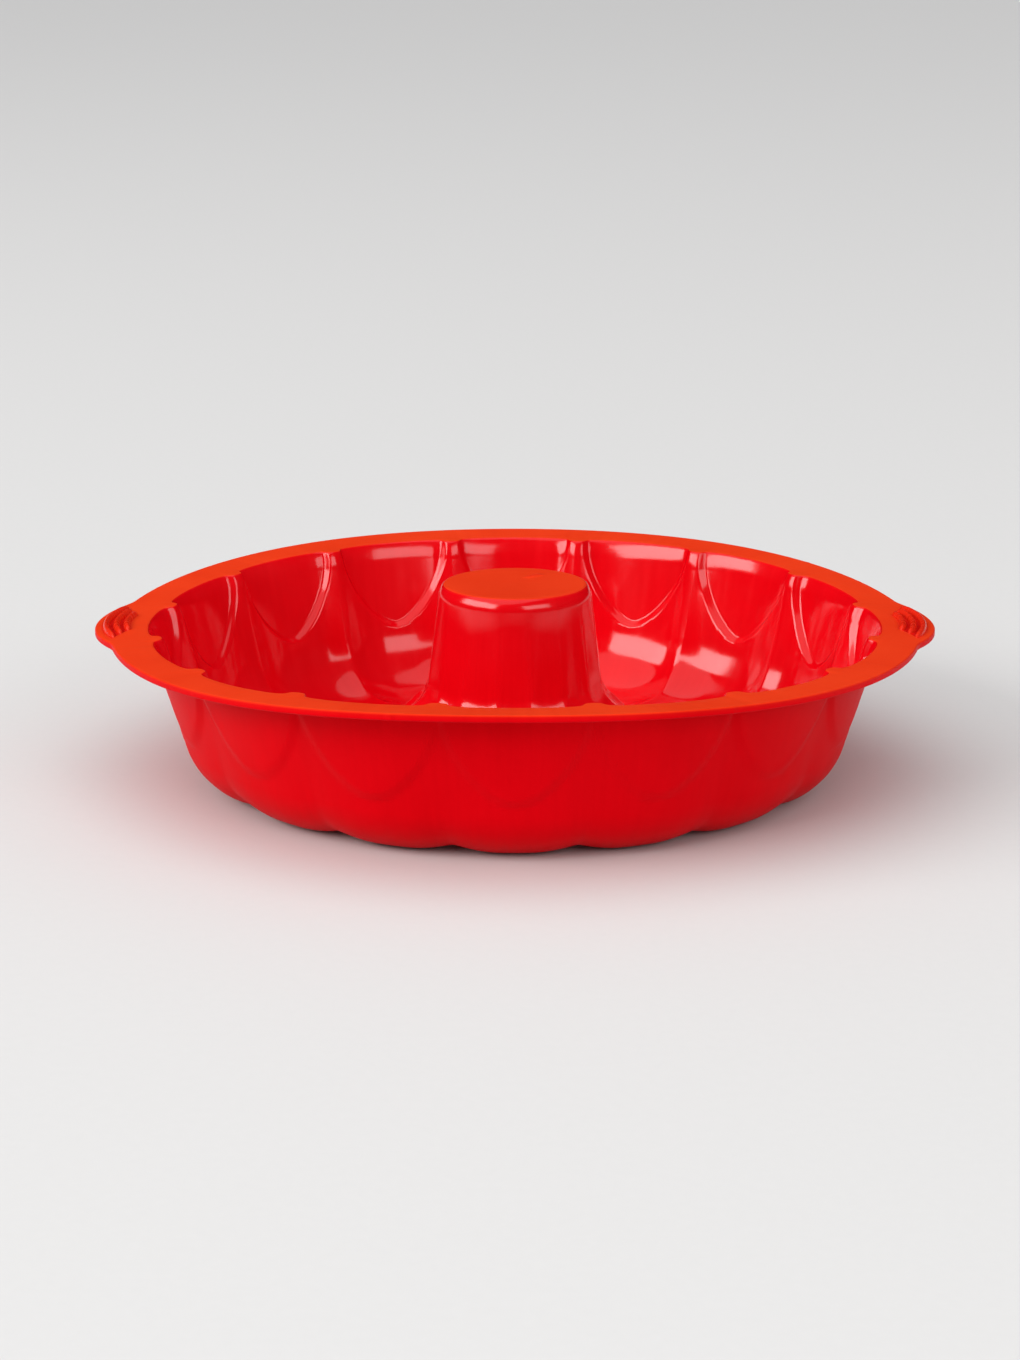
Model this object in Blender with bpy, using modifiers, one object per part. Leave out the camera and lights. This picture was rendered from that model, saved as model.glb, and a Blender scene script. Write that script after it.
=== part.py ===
"""Bundt pan: a one-piece silicone ring mould with sixteen arched lobes, a closed fluted tube in the
middle, a thin flange round the mouth and a ribbed ear on each side.

The moulding is divided into its named regions, with a fine parting gap between neighbours.
+Z is up, +X runs from ear to ear, and the origin is on the table under the middle of the tube.
"""

import bpy
import bmesh
import numpy as np
from math import acos, asin, cos, pi, radians, sin, tan

# ---- overall sizes (metres)
MOUTH_RADIUS = 0.1154        # wall line carried up to the flange, at the crown of a lobe
FLANGE_WIDTH = 0.0146
RIM_HEIGHT = 0.0520          # table to the top of the flange, at the mouth
TUBE_HEIGHT = 0.0620         # table to the top of the tube
LOBES = 16

# ---- skin
SKIN = 0.0018                # wall, floor and tube
FLANGE_THICKNESS = 0.0023
PARTING_GAP = 0.0003         # between neighbouring regions

# ---- mouth and wall, on the trough side
WALL_LEAN = radians(13.5)
FLANGE_RISE = radians(3.5)   # the flange climbs outwards
UNDER_FILLET = 0.0002        # below the flange; the fillet above it is thicker by the flange
TURN_RADIUS = 0.0185         # wall to floor

# ---- floor and tube
DISH_RADIUS = 0.0300         # floor up to the slope round the tube
FOOT_SLOPE = radians(45)
FOOT_RADIUS = 0.0130         # slope to tube wall
FOOT_HEIGHT = 0.0330         # table to where the tube wall starts
TUBE_TOP_RADIUS = 0.0249
TUBE_DRAFT = radians(6.6)    # the tube widens downwards
TUBE_EDGE = 0.0023           # rounding round the top of the tube

# ---- scallops: how far the crease between two lobes stands into the trough
CROWN_SHARE = 0.24           # part of each lobe that has no scallop, so that it rests flat
CREASE_AT_MOUTH = 0.0012
CREASE_AT_TURN = 0.0022
CREASE_ON_FLOOR = 0.0024
CREASE_AT_FOOT = 0.0012
CREASE_ON_TUBE = 0.0006
CREASE_AT_TOP = 0.0002

# ---- arched panel pressed outwards in each lobe
PANEL_STEP = 0.0015
PANEL_DEPTH = 0.0290         # flange to the tip of the arch
PANEL_SHARE = 0.83           # width at the mouth, as a part of one lobe
PANEL_CURVE = 1.9            # how late the sides of the arch close
PANEL_EASE = 0.0025          # width of the step

# ---- droop of the soft flange at the ears
DROOP = 0.0047               # at the tip of an ear
DROOP_SPREAD = 3.2           # how fast it fades towards the middle
DROOP_TURN = 4.0             # how fast it fades round the rim
DROOP_RISE = 2.0             # how fast it fades down the wall

# ---- ears and their grip ribs
EAR_REACH = 0.0055           # past the flange
EAR_ARC = 0.0490             # radius of the ear's outline
EAR_SHOULDER = radians(1.8)  # from the foot of that outline to the end of the ear
EAR_LAND = 0.0061            # flange left between the mouth and the ear
RIBS = 3
RIB_INSET = 0.0035           # ear tip to the middle of the outer rib
RIB_PITCH = 0.0037
RIB_WIDTH = 0.0018
RIB_HEIGHT = 0.0009
RIB_HALF_LENGTH = 0.0200     # the outer rib
RIB_SHORTER = 0.0045         # each rib inside it is this much shorter at each end

# ---- fineness
LOBE_COLUMNS = (0.0, 0.12, 0.26, 0.385, 0.5, 0.615, 0.74, 0.88)
TUBE_COLUMNS = (0.0, 0.25, 0.5, 0.75)
RIM_STEPS = 2
WALL_STEPS = 5
TURN_STEPS = 4
DISH_STEPS = 2
FOOT_STEPS = 2
TUBE_STEPS = 2
CAP_STEPS = 64
CAP_EDGE_STEPS = 4
EAR_COLUMNS = 25
EAR_ROWS = 4
RIB_COLUMNS = 13
RIB_SECTION = ((-1.0, 0.45), (-0.5, 1.0), (0.5, 1.0), (1.0, 0.45))  # across and up, both as shares
SHARP_ANGLE = radians(40)

# ---- colour and roughness
SATIN = ((0.74, 0.045, 0.018, 1.0), 0.42)
GLOSS = ((0.62, 0.004, 0.009, 1.0), 0.16)
TUBE_RED = ((0.66, 0.005, 0.008, 1.0), 0.24)

# ---- sizes that follow
PITCH = 2 * pi / LOBES
FLANGE_RADIUS = MOUTH_RADIUS + FLANGE_WIDTH
EAR_TIP = FLANGE_RADIUS + EAR_REACH
EAR_CENTRE = EAR_TIP - EAR_ARC
EAR_ROOT = MOUTH_RADIUS + EAR_LAND
EAR_FOOT = (FLANGE_RADIUS**2 + EAR_CENTRE**2 - EAR_ARC**2) / (2 * FLANGE_RADIUS * EAR_CENTRE)
EAR_HALF_ANGLE = acos(EAR_FOOT) + EAR_SHOULDER
RIM_FILLET = FLANGE_THICKNESS + UNDER_FILLET
TUBE_SHOULDER = TUBE_HEIGHT - TUBE_EDGE
TUBE_FOOT_RADIUS = TUBE_TOP_RADIUS + (TUBE_SHOULDER - FOOT_HEIGHT) * tan(TUBE_DRAFT)

# ---- directions out of the trough, into the silicone, as angles in the turned section
FLANGE_NORMAL = -pi / 2 + FLANGE_RISE
WALL_NORMAL = -WALL_LEAN
FLOOR_NORMAL = -pi / 2
SLOPE_NORMAL = -pi / 2 - FOOT_SLOPE
TUBE_NORMAL = -pi + TUBE_DRAFT


# ---- the turned line that every region follows
# One row per station: r, z, normal, the direction in which relief is pushed, and the crease's depth.

def stations(r, z, normal, push, crease):
    return np.column_stack(np.broadcast_arrays(r, z, normal, push, crease))


def relief_push(normal):
    """Relief goes straight out on the wall, straight down on the floor and straight in on the tube."""
    return np.interp(normal, [TUBE_NORMAL, FLOOR_NORMAL, WALL_NORMAL], [-pi, -pi / 2, 0])


def hollow_arc(centre_r, centre_z, radius, normals, steps, creases):
    """Arc that bends round the trough."""
    normal = np.linspace(*normals, steps + 1)
    r = centre_r + radius * np.cos(normal)
    z = centre_z + radius * np.sin(normal)
    return stations(r, z, normal, relief_push(normal), np.linspace(*creases, steps + 1))


def flange_top(r):
    """Height of the flange above the table, before it droops."""
    return RIM_HEIGHT + (r - MOUTH_RADIUS) * tan(FLANGE_RISE)


def rim_line():
    """The fillet between the flange and the wall, which bends round the silicone."""
    normal = np.linspace(FLANGE_NORMAL, WALL_NORMAL, RIM_STEPS + 1)
    tangent = RIM_FILLET * tan((WALL_NORMAL - FLANGE_NORMAL) / 2)
    centre_r = MOUTH_RADIUS + tangent * cos(FLANGE_RISE) + RIM_FILLET * cos(FLANGE_NORMAL)
    centre_z = RIM_HEIGHT + tangent * sin(FLANGE_RISE) + RIM_FILLET * sin(FLANGE_NORMAL)
    r = centre_r - RIM_FILLET * np.cos(normal)
    z = centre_z - RIM_FILLET * np.sin(normal)
    return stations(r, z, normal, 0.0, CREASE_AT_MOUTH)


def turn_line():
    """The turn from the wall to the floor."""
    centre_z = SKIN + TURN_RADIUS
    start_z = centre_z + TURN_RADIUS * sin(WALL_NORMAL)
    start_r = MOUTH_RADIUS - (RIM_HEIGHT - start_z) * tan(WALL_LEAN)
    centre_r = start_r - TURN_RADIUS * cos(WALL_NORMAL)
    normals = (WALL_NORMAL, FLOOR_NORMAL)
    creases = (CREASE_AT_TURN, CREASE_ON_FLOOR)
    return hollow_arc(centre_r, centre_z, TURN_RADIUS, normals, TURN_STEPS, creases)


def foot_line():
    """The bend from the slope to the tube wall, from its lower end."""
    centre_r = TUBE_FOOT_RADIUS - FOOT_RADIUS * cos(TUBE_NORMAL)
    centre_z = FOOT_HEIGHT - FOOT_RADIUS * sin(TUBE_NORMAL)
    normals = (SLOPE_NORMAL, TUBE_NORMAL)
    creases = (CREASE_AT_FOOT, CREASE_ON_TUBE)
    return hollow_arc(centre_r, centre_z, FOOT_RADIUS, normals, FOOT_STEPS, creases)


def dish_line():
    """The bend from the floor up to the slope."""
    foot_r, foot_z = foot_line()[0, :2]
    centre_z = SKIN + DISH_RADIUS
    end_z = centre_z + DISH_RADIUS * sin(SLOPE_NORMAL)
    end_r = foot_r + (foot_z - end_z) / tan(FOOT_SLOPE)
    centre_r = end_r - DISH_RADIUS * cos(SLOPE_NORMAL)
    normals = (FLOOR_NORMAL, SLOPE_NORMAL)
    creases = (CREASE_ON_FLOOR, CREASE_AT_FOOT)
    return hollow_arc(centre_r, centre_z, DISH_RADIUS, normals, DISH_STEPS, creases)


def between(first, last, steps):
    """Straight stations from the end of one line to the start of the next, both left out."""
    share = np.linspace(0, 1, steps + 1)[1:-1, None]
    return first[-1] * (1 - share) + last[0] * share


def parted(line, at_start, at_end):
    """The line shortened by half a parting gap at the ends that meet a neighbour."""
    line = line.copy()
    for row, way, wanted in ((0, 1, at_start), (-1, -1, at_end)):
        along = np.array([sin(line[row, 2]), -cos(line[row, 2])])
        line[row, :2] += wanted * way * along * PARTING_GAP / 2
    return line


# ---- relief round the pan

def scallop(phase):
    """0 over the crown and 1 on the crease, which is sharp."""
    return np.clip((2 * np.abs(phase) - CROWN_SHARE) / (1 - CROWN_SHARE), 0, None) ** 2


def panel(phase, drop, r):
    """1 on the arched panel, 0 off it, with a soft step between."""
    closing = 1 - np.clip(drop / PANEL_DEPTH, 0, None) ** PANEL_CURVE
    inside = (PANEL_SHARE / 2 * closing - np.abs(phase)) * PITCH * r
    step = np.clip(inside / PANEL_EASE + 0.5, 0, 1)
    return step * step * (3 - 2 * step)


def relief(line, angle):
    """Distance out of the trough at each station and angle. Phase is 0 on a lobe's crown."""
    phase = (angle / PITCH + 0.5) % 1.0 - 0.5
    r, z, _, push, crease = line.T[:, :, None]
    pressed = np.where(push > FLOOR_NORMAL, PANEL_STEP * panel(phase, RIM_HEIGHT - z, r), 0)
    return pressed - crease * scallop(phase)


def droop(points):
    """The points lowered where the flange sags at the ears."""
    x, y, z = np.moveaxis(points, -1, 0)
    r = np.hypot(x, y)
    fade_in = (r / EAR_TIP) ** DROOP_SPREAD
    fade_round = np.abs(x / r) ** DROOP_TURN
    fade_down = np.clip(z / RIM_HEIGHT, 0, 1) ** DROOP_RISE
    return np.stack([x, y, z - DROOP * fade_in * fade_round * fade_down], axis=-1)


def turned(r, z, angle):
    """Points from radius and height, one row per station and one column per angle."""
    return np.stack(np.broadcast_arrays(r * np.cos(angle), r * np.sin(angle), z), axis=-1)


def skins(line, angle, thickness):
    """The trough side and the outer side of a region. Thickness is one value, or one per station."""
    out = relief(line, angle)
    r, z, normal, push, _ = line.T[:, :, None]
    r = r + np.cos(push) * out
    z = z + np.sin(push) * out
    through = np.reshape(thickness, (-1, 1))
    outer_r = r + through * np.cos(normal)
    outer_z = z + through * np.sin(normal)
    return droop(turned(r, z, angle)), droop(turned(outer_r, outer_z, angle))


# ---- meshes

def material(name, finish):
    colour, roughness = finish
    made = bpy.data.materials.get(name) or bpy.data.materials.new(name)
    made.use_nodes = True
    shader = made.node_tree.nodes["Principled BSDF"]
    shader.inputs["Base Color"].default_value = colour
    shader.inputs["Roughness"].default_value = roughness
    shader.inputs["Metallic"].default_value = 0.0
    made.diffuse_color = colour
    return made


def add_object(name, mesh, finish):
    made = bpy.data.objects.new(name, mesh)
    pan.objects.link(made)
    made.parent = root
    mesh.materials.append(material(name + "_silicone", finish))
    return made


def grid_faces(rows, columns, closed):
    """Quads of a grid of points, with the last column joined to the first if closed."""
    row = np.arange(rows - 1)[:, None]
    column = np.arange(columns if closed else columns - 1)[None, :]
    after = (column + 1) % columns
    corners = [row * columns + column, row * columns + after]
    corners += [(row + 1) * columns + after, (row + 1) * columns + column]
    return np.stack(np.broadcast_arrays(*corners), axis=-1)


def sheet_solid(name, upper, lower, faces, finish):
    """One closed body between two matching grids: both faces, and a wall along every open edge."""
    faces = faces.reshape(-1, 4)
    count = upper.shape[0] * upper.shape[1]
    edges = np.concatenate([faces[:, [i, (i + 1) % 4]] for i in range(4)])
    seen = {tuple(edge) for edge in edges.tolist()}
    border = np.array([edge for edge in edges.tolist() if (edge[1], edge[0]) not in seen])
    walls = np.column_stack([border[:, 1], border[:, 0], border[:, 0] + count, border[:, 1] + count])
    every = np.concatenate([faces, faces[:, ::-1] + count, walls])
    points = np.concatenate([upper.reshape(-1, 3), lower.reshape(-1, 3)])
    mesh = bpy.data.meshes.new(name)
    mesh.from_pydata(points.tolist(), [], every.tolist())
    solid = bmesh.new()
    solid.from_mesh(mesh)
    loose = [vertex for vertex in solid.verts if not vertex.link_faces]
    bmesh.ops.delete(solid, geom=loose, context="VERTS")
    bmesh.ops.recalc_face_normals(solid, faces=solid.faces)
    solid.to_mesh(mesh)
    solid.free()
    mesh.shade_smooth()
    mesh.set_sharp_from_angle(angle=SHARP_ANGLE)
    return add_object(name, mesh, finish)


def all_round(columns):
    """Angles round the pan, with the same columns in each lobe."""
    return ((np.arange(LOBES)[:, None] + np.array(columns)[None, :]) * PITCH).ravel()


# ---- regions

def ring_region(name, line, columns, finish):
    """A stretch of the turned line as a closed ring of silicone."""
    angle = all_round(columns)
    upper, lower = skins(line, angle, SKIN)
    faces = grid_faces(len(line), len(angle), closed=True)
    return sheet_solid(name, upper, lower, faces, finish)


def fluted_wall():
    rim, turn = rim_line(), turn_line()
    line = np.vstack([rim[-1:], between(rim, turn, WALL_STEPS), turn[:1]])
    return ring_region("fluted_wall", parted(line, True, True), LOBE_COLUMNS, GLOSS)


def lower_wall():
    """The rounded turn, where the scallops begin."""
    return ring_region("lower_wall", parted(turn_line(), True, True), LOBE_COLUMNS, GLOSS)


def trough_floor():
    """The lowest ring, whose crowns rest on the table."""
    line = np.vstack([turn_line()[-1:], dish_line()[:1]])
    return ring_region("trough_floor", parted(line, True, True), LOBE_COLUMNS, GLOSS)


def tube_flare():
    """The rise from the floor to the tube."""
    line = np.vstack([dish_line(), foot_line()[:1]])
    return ring_region("tube_flare", parted(line, True, True), LOBE_COLUMNS, GLOSS)


def centre_tube():
    foot = foot_line()
    top = stations(TUBE_TOP_RADIUS, TUBE_SHOULDER, TUBE_NORMAL, relief_push(TUBE_NORMAL), CREASE_AT_TOP)
    line = np.vstack([foot, between(foot, top, TUBE_STEPS), top])
    return ring_region("centre_tube", parted(line, True, True), TUBE_COLUMNS, TUBE_RED)


def tube_cap():
    """The flat top of the tube with its rounded edge, turned round the axis."""
    centre_r = TUBE_TOP_RADIUS - TUBE_EDGE
    bottom_z = TUBE_SHOULDER + PARTING_GAP / 2
    turn = np.linspace(0, pi / 2, CAP_EDGE_STEPS + 1)

    def edge(radius):
        z = np.maximum(TUBE_SHOULDER + radius * np.cos(turn), bottom_z)
        return np.column_stack([centre_r + radius * np.sin(turn), 0 * turn, z])

    top, under = [[0, 0, TUBE_HEIGHT]], [[0, 0, TUBE_HEIGHT - SKIN]]
    profile = np.vstack([top, edge(TUBE_EDGE), edge(TUBE_EDGE - SKIN)[::-1], under])
    edges = [(i, i + 1) for i in range(len(profile) - 1)]
    mesh = bpy.data.meshes.new("tube_cap")
    mesh.from_pydata(profile.tolist(), edges, [])
    cap = add_object("tube_cap", mesh, SATIN)
    screw = cap.modifiers.new("Turn", "SCREW")
    screw.steps = CAP_STEPS
    screw.render_steps = CAP_STEPS
    screw.use_merge_vertices = True
    screw.merge_threshold = 0.00001
    screw.use_smooth_shade = True
    return cap


def on_flange(x, y, lift):
    """Points on the drooping flange, raised by lift."""
    surface = droop(np.stack([x, y, flange_top(np.hypot(x, y))], axis=-1))
    surface[..., 2] += lift
    return surface


def rim_flange():
    """The ring round the mouth, notched on both sides for the ears."""
    ends = np.array([EAR_HALF_ANGLE, pi - EAR_HALF_ANGLE, pi + EAR_HALF_ANGLE, -EAR_HALF_ANGLE])
    angle = np.sort(np.append(all_round(LOBE_COLUMNS), ends % (2 * pi)))
    thickness = np.linspace(FLANGE_THICKNESS, SKIN, RIM_STEPS + 1)
    fillet, fillet_under = skins(parted(rim_line(), False, True), angle, thickness)
    r = np.array([[FLANGE_RADIUS], [EAR_ROOT]])
    x, y = r * np.cos(angle), r * np.sin(angle)
    upper = np.concatenate([on_flange(x, y, 0.0), fillet])
    lower = np.concatenate([on_flange(x, y, -FLANGE_THICKNESS), fillet_under])
    faces = grid_faces(len(upper), len(angle), closed=True)
    middle = angle + np.diff(np.append(angle, angle[0] + 2 * pi)) / 2
    from_x_axis = np.abs((middle + pi / 2) % pi - pi / 2)
    kept = np.ones(faces.shape[:2], bool)
    kept[0] = from_x_axis > EAR_HALF_ANGLE
    return sheet_solid("rim_flange", upper, lower, faces[kept], SATIN)


def handle(name, side):
    """The ear, from the flange's notch out to its rounded edge."""
    half = EAR_HALF_ANGLE - PARTING_GAP / EAR_ROOT
    angle = np.linspace(-half, half, EAR_COLUMNS)
    arc = EAR_CENTRE * np.cos(angle) + np.sqrt(EAR_ARC**2 - (EAR_CENTRE * np.sin(angle)) ** 2)
    outline = np.maximum(arc, FLANGE_RADIUS)
    share = np.linspace(0, 1, EAR_ROWS)[:, None]
    r = (EAR_ROOT + PARTING_GAP) * (1 - share) + outline * share
    x, y = side * r * np.cos(angle), r * np.sin(angle)
    upper, lower = on_flange(x, y, 0.0), on_flange(x, y, -FLANGE_THICKNESS)
    return sheet_solid(name, upper, lower, grid_faces(*x.shape, closed=False), SATIN)


def grip_rib(name, side, number):
    """A low bar that follows the ear's outline. Number 0 is nearest the tip."""
    arc = EAR_ARC - RIB_INSET - number * RIB_PITCH
    half = asin((RIB_HALF_LENGTH - number * RIB_SHORTER) / arc)
    angle = np.linspace(-half, half, RIB_COLUMNS)
    across, up = np.array(RIB_SECTION).T[:, :, None]
    r = arc + across * RIB_WIDTH / 2
    x, y = side * (EAR_CENTRE + r * np.cos(angle)), r * np.sin(angle)
    upper, lower = on_flange(x, y, up * RIB_HEIGHT), on_flange(x, y, PARTING_GAP)
    return sheet_solid(name, upper, lower, grid_faces(*x.shape, closed=False), SATIN)


for old in list(bpy.data.objects):
    bpy.data.objects.remove(old, do_unlink=True)

pan = bpy.data.collections.new("Bundt pan")
bpy.context.scene.collection.children.link(pan)
root = bpy.data.objects.new("bundt_pan", None)
pan.objects.link(root)

rim_flange()
fluted_wall()
lower_wall()
trough_floor()
tube_flare()
centre_tube()
tube_cap()
for side_name, side in (("left", -1), ("right", 1)):
    handle(side_name + "_handle", side)
    for number in range(RIBS):
        grip_rib(f"{side_name}_grip_rib_{number + 1}", side, number)
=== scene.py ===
from math import acos, asin, cos, pi, radians, sin, tan

import bpy
import numpy as np
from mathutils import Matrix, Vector


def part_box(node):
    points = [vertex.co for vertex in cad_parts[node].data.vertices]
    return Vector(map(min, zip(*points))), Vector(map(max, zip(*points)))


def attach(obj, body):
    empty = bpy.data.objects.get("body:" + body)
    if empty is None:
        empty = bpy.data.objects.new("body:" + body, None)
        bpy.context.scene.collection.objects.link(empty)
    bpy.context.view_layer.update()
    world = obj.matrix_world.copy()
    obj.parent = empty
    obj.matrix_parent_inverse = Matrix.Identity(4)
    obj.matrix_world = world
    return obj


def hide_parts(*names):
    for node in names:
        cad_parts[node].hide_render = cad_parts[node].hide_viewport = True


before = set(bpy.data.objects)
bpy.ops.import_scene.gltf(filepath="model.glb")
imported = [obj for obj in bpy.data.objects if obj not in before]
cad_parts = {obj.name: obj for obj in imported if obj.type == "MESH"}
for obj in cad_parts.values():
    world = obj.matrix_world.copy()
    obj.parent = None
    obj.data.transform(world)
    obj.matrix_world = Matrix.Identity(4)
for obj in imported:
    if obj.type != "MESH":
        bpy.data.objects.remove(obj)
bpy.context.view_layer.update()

print("frame loaded:", len(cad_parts), "nodes")

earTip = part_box("right_handle")[1][0]
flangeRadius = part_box("rim_flange")[1][1]
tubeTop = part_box("tube_cap")[1][2]

# sizes of the moulding, in metres, on the trough side unless said otherwise
mould = {
    "lobes": 16,
    "mouthRadius": 0.1154,      # wall line carried up to the flange
    "rimHeight": 0.0520,
    "skin": 0.0018,
    "flangeThickness": 0.0023,
    "wallLean": radians(13.5),
    "flangeRise": radians(3.5),
    "rimFillet": 0.0012,
    "lipRadius": 0.0260,        # the wall opens gently just below the fillet
    "lipLean": radians(26),
    "underFillet": 0.0012,      # between the flange and the outside of the wall
    "turnRadius": 0.0185,       # wall to floor, on the outside
    "shoulderRadius": 0.0380,   # on the trough side the wall leans over slowly first
    "shoulderLean": radians(28),
    "troughTurn": 0.0210,
    "dishRadius": 0.0300,       # floor to the slope that climbs to the tube
    "footSlope": radians(45),
    "footRadius": 0.0130,       # slope to the tube's side
    "footHeight": 0.0302,
    "tubeTopRadius": 0.0249,
    "tubeDraft": radians(6.6),
    "tubeShoulder": 0.0080,     # the tube's top edge: a slow shoulder first, then a tighter turn
    "tubeLean": radians(33),
    "tubeEdge": 0.0018,
    "parting": 0.0046,          # rim piece to wall piece, below the flange
    "earRoot": 0.1215,          # inner edge of the ears and of the flange's outer band
}
pitch = 2 * pi / mould["lobes"]

# ways into the silicone along the section, as angles in the plane of radius and height
flangeNormal = -pi / 2 + mould["flangeRise"]
wallNormal = -mould["wallLean"]
lipNormal = -mould["lipLean"]
floorNormal = -pi / 2
slopeNormal = -pi / 2 - mould["footSlope"]
tubeNormal = -pi + mould["tubeDraft"]

# relief: scallops between the lobes and the arched panel in each lobe
relief = {
    # along the section: how deep the creases are, how round, and the share of a lobe that has no scallop
    "creases": {"rim": 0.0010, "turn": 0.0029, "floor": 0.0026, "foot": 0.0016,
                "tube": 0.0008, "top": 0.0002, "rimOut": 0.0005, "turnOut": 0.0011},
    "softness": {"rim": 0.07, "turn": 0.028, "floor": 0.022, "foot": 0.05,
                 "tube": 0.15, "top": 0.20, "rimOut": 0.10, "turnOut": 0.05},
    "crowns": {"rim": 0.0, "turn": 0.22, "floor": 0.24, "foot": 0.10,
               "tube": 0.0, "top": 0.0, "rimOut": 0.0, "turnOut": 0.10},
    "ribHeight": 0.0016,        # rounded rib between two panels, fading down the wall
    "ribWidth": 0.0044,
    "ribFade": 0.0210,
    "panelStep": 0.0018,
    "panelDepth": 0.0280,       # from the rim to the arch's tip
    "panelShare": 0.775,        # of the lobe's width, at the rim
    "panelCurve": 1.9,          # how late the arch closes
    "panelClose": 0.80,         # how bluntly it ends
    "panelTip": 0.0022,         # rounding of its tip
    "panelEase": 0.0026,        # width of its sloping edge
    "backStep": 0.0009,         # the same panel as it shows on the outside
    "backDeeper": 0.0035,
    "backTip": 0.0058,
    "backEase": 0.0046,
    "ripple": 0.000025,         # slow waves that the mould's polish left on the floor
    "rippleLength": 0.0085,
    "rippleMiddle": 0.0800,
    "rippleReach": 0.0160,
    "rippleTop": 0.0300,        # there are none above this height
    "rippleBend": 0.35,         # how far a wave bends across a lobe
    "rippleTurns": 3,           # how often it swings in and out round the pan
}

# how the soft flange hangs
droopOf = {
    "depth": 0.0047,            # at the ears
    "turn": 4.0,                # how closely that keeps to them
    "front": 0.0025,            # between the ears and the front
    "frontSkew": 0.0004,        # more of it on the left
    "spread": 3.2,              # fading inwards
    "rise": 2.0,                # fading down the wall
}


def stations(r, z, normal, push, share, crease, soft, crown):
    # one row per station of a turned section: its place, the way into the silicone, the way the relief
    # goes, the share of relief, how deep the crease is, how round, and the crown without scallop
    return np.column_stack(np.broadcast_arrays(r, z, normal, push, share, crease, soft, crown))


def arc(centreR, centreZ, radius, normals, marks, push=None, steps=600):
    # circle through normals[0] to normals[1]; a negative radius bends round the silicone
    normal = np.linspace(*normals, steps + 1)
    if push is None:
        push = np.interp(normal, [tubeNormal, floorNormal, wallNormal], [-pi, -pi / 2, 0])
    shape = [np.linspace(*(relief[kind][mark] for mark in marks), steps + 1)
             for kind in ("creases", "softness", "crowns")]
    r = centreR + radius * np.cos(normal)
    z = centreZ + radius * np.sin(normal)
    return stations(r, z, normal, push, 1.0, *shape)


def flangeTop(r):
    # height of the flange's upper side, a cone that rises outwards
    return mould["rimHeight"] + (r - mould["mouthRadius"]) * tan(mould["flangeRise"])


def turnInside():
    # wall to floor on the trough side: a slow arc, then the turn itself
    m = mould
    shoulder = -m["shoulderLean"]
    midZ = m["skin"] + m["troughTurn"] * (1 + sin(shoulder))
    startZ = midZ + m["shoulderRadius"] * (sin(wallNormal) - sin(shoulder))
    startR = m["mouthRadius"] - (m["rimHeight"] - startZ) * tan(m["wallLean"])
    midR = startR - m["shoulderRadius"] * (cos(wallNormal) - cos(shoulder))
    slowR = startR - m["shoulderRadius"] * cos(wallNormal)
    slowZ = startZ - m["shoulderRadius"] * sin(wallNormal)
    slow = arc(slowR, slowZ, m["shoulderRadius"], (wallNormal, shoulder), ("turn", "turn"))
    quickR = midR - m["troughTurn"] * cos(shoulder)
    quickZ = midZ - m["troughTurn"] * sin(shoulder)
    quick = arc(quickR, quickZ, m["troughTurn"], (shoulder, floorNormal), ("turn", "floor"))
    return [slow, quick]


def turnOutside():
    # wall to floor on the outer side: one arc, larger by the skin
    m = mould
    centreZ = m["skin"] + m["turnRadius"]
    startZ = centreZ + m["turnRadius"] * sin(wallNormal)
    startR = m["mouthRadius"] - (m["rimHeight"] - startZ) * tan(m["wallLean"])
    centreR = startR - m["turnRadius"] * cos(wallNormal)
    radius = m["turnRadius"] + m["skin"]
    return [arc(centreR, centreZ, radius, (wallNormal, floorNormal), ("turnOut", "floor"))]


def tubeEdgeHeight():
    # how much of the tube's height its rounded top edge takes: the rise of both its arcs
    m = mould
    slow = m["tubeShoulder"] * (sin(m["tubeLean"]) - sin(m["tubeDraft"]))
    return slow + m["tubeEdge"] * (1 - sin(m["tubeLean"]))


def footArc(offset):
    # slope to the tube's side, which leans out by its draft from the top edge down to here
    m = mould
    rise = tubeTop - tubeEdgeHeight() - m["footHeight"]
    footR = m["tubeTopRadius"] + rise * tan(m["tubeDraft"])
    centreR = footR - m["footRadius"] * cos(tubeNormal)
    centreZ = m["footHeight"] - m["footRadius"] * sin(tubeNormal)
    return arc(centreR, centreZ, m["footRadius"] + offset, (slopeNormal, tubeNormal), ("foot", "tube"))


def dishArc(offset):
    # floor to slope, placed so that the slope runs straight on into the foot
    m = mould
    footR, footZ = footArc(0)[0, :2]
    centreZ = m["skin"] + m["dishRadius"]
    endZ = centreZ + m["dishRadius"] * sin(slopeNormal)
    endR = footR + (footZ - endZ) / tan(m["footSlope"])
    centreR = endR - m["dishRadius"] * cos(slopeNormal)
    return arc(centreR, centreZ, m["dishRadius"] + offset, (floorNormal, slopeNormal), ("floor", "foot"))


def flatEnd(fillet, height):
    # the first station, at the root of the flange's outer band, without relief
    flat = fillet[:1].copy()
    flat[0, :2] = mould["earRoot"], height
    flat[0, 4] = 0.0
    return flat


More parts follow.
